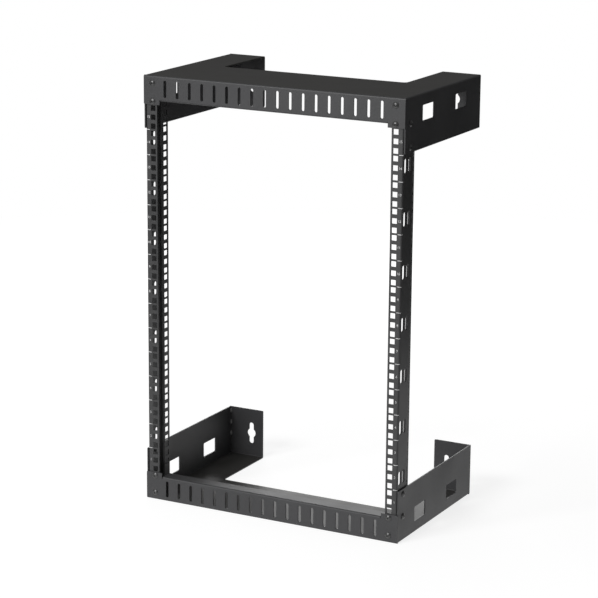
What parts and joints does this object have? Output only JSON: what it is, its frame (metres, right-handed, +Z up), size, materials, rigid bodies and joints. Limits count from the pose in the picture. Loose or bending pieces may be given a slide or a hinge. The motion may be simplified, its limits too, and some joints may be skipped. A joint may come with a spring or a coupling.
{
  "type": "two post open frame rack",
  "caption": "Open two post rack frame of folded black steel sheet: slotted top and bottom brackets with wall flanges, joined by two posts with square equipment holes.",
  "frame": {"origin": "on the floor, under the middle of the frame's width and depth", "axes": "+Z up, along the height; +Y back to the wall, along the depth; +X to the right seen from the front"},
  "size_m": [0.5, 0.3048, 0.7684],
  "materials": {
    "bracket_coat": "fine matt black powder coat",
    "deck_coat": "fine matt black powder coat",
    "post_coat": "fine matt black powder coat",
    "weld_bead": "powder coat over a rounded weld tack"
  },
  "bodies": {
    "root": {"bottom_deck": "deck_coat", "bottom_left_deck_arm": "deck_coat", "bottom_right_deck_arm": "deck_coat", "bottom_front_strip": "bracket_coat", "bottom_front_lip": "bracket_coat", "bottom_left_cheek": "bracket_coat", "bottom_right_cheek": "bracket_coat", "bottom_left_wall_flange": "bracket_coat", "bottom_right_wall_flange": "bracket_coat", "bottom_left_weld_tacks": "weld_bead", "bottom_right_weld_tacks": "weld_bead", "top_deck": "deck_coat", "top_left_deck_arm": "deck_coat", "top_right_deck_arm": "deck_coat", "top_front_strip": "bracket_coat", "top_front_lip": "bracket_coat", "top_left_cheek": "bracket_coat", "top_right_cheek": "bracket_coat", "top_left_wall_flange": "bracket_coat", "top_right_wall_flange": "bracket_coat", "top_left_weld_tacks": "weld_bead", "top_right_weld_tacks": "weld_bead", "left_post_front_rail": "post_coat", "left_post_web": "post_coat", "left_post_rear_step": "post_coat", "left_post_rear_flange": "post_coat", "right_post_front_rail": "post_coat", "right_post_web": "post_coat", "right_post_rear_step": "post_coat", "right_post_rear_flange": "post_coat"}
  },
  "joints": []
}
